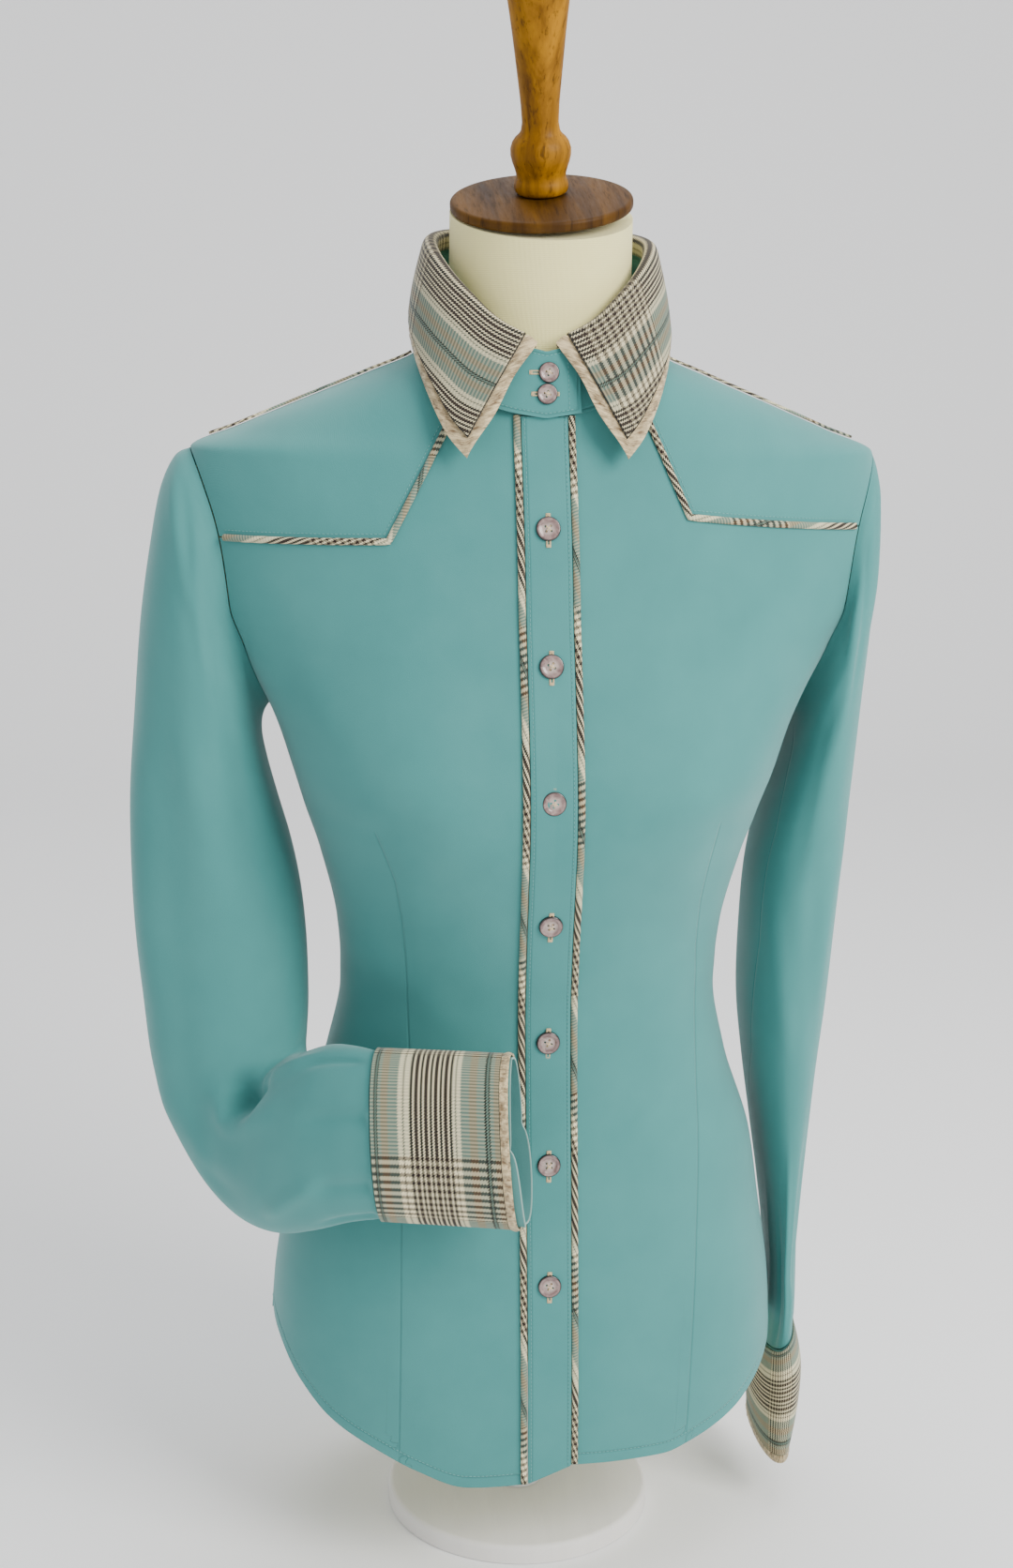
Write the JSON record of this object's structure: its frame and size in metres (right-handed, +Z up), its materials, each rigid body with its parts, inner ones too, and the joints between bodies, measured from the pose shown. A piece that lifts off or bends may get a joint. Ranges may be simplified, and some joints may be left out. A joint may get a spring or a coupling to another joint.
{
  "type": "western shirt on dress form",
  "caption": "Fitted western shirt with pointed yokes, piped seams and plaid collar and cuffs, on a limbless tabletop dress form.",
  "frame": {"origin": "centre of the foot's flat underside", "axes": "+Z up; -Y is the shirt's front; +X is the wearer's left"},
  "size_m": [0.4487, 0.2797, 0.9752],
  "materials": {
    "teal_crepe": "matte, fine crepe weave with a little stretch",
    "plaid_shirting": "matte yarn-dyed plaid, cut straight and on the bias",
    "tan_jacquard": "soft sheen, crinkled jacquard",
    "smoky_pearl": "polished, smoky pearl",
    "cream_jersey": "matte fine jersey",
    "dark_walnut": "satin lacquer",
    "golden_wood": "satin lacquer",
    "pale_lacquer": "satin lacquer"
  },
  "bodies": {
    "root": {"back": "teal_crepe", "button_1": "smoky_pearl", "button_2": "smoky_pearl", "button_3": "smoky_pearl", "button_4": "smoky_pearl", "button_5": "smoky_pearl", "button_6": "smoky_pearl", "button_7": "smoky_pearl", "collar_button_lower": "smoky_pearl", "collar_button_upper": "smoky_pearl", "collar_stand": "teal_crepe", "collar_top": "plaid_shirting", "collar_under": "tan_jacquard", "cuff_band_left": "tan_jacquard", "cuff_band_right": "tan_jacquard", "cuff_button_left": "smoky_pearl", "cuff_button_right": "smoky_pearl", "cuff_left": "plaid_shirting", "cuff_lining_left": "teal_crepe", "cuff_lining_right": "teal_crepe", "cuff_right": "plaid_shirting", "finial": "golden_wood", "foot": "pale_lacquer", "form_torso": "cream_jersey", "front_left": "teal_crepe", "front_right": "teal_crepe", "neck_cap": "dark_walnut", "piping_placket_left": "plaid_shirting", "piping_placket_right": "plaid_shirting", "piping_shoulder_left": "plaid_shirting", "piping_shoulder_right": "plaid_shirting", "piping_yoke_back": "plaid_shirting", "piping_yoke_left": "plaid_shirting", "piping_yoke_right": "plaid_shirting", "placket": "teal_crepe", "sleeve_left": "teal_crepe", "sleeve_right": "teal_crepe", "stem": "pale_lacquer", "yoke_back": "teal_crepe", "yoke_front_left": "teal_crepe", "yoke_front_right": "teal_crepe"}
  },
  "joints": []
}
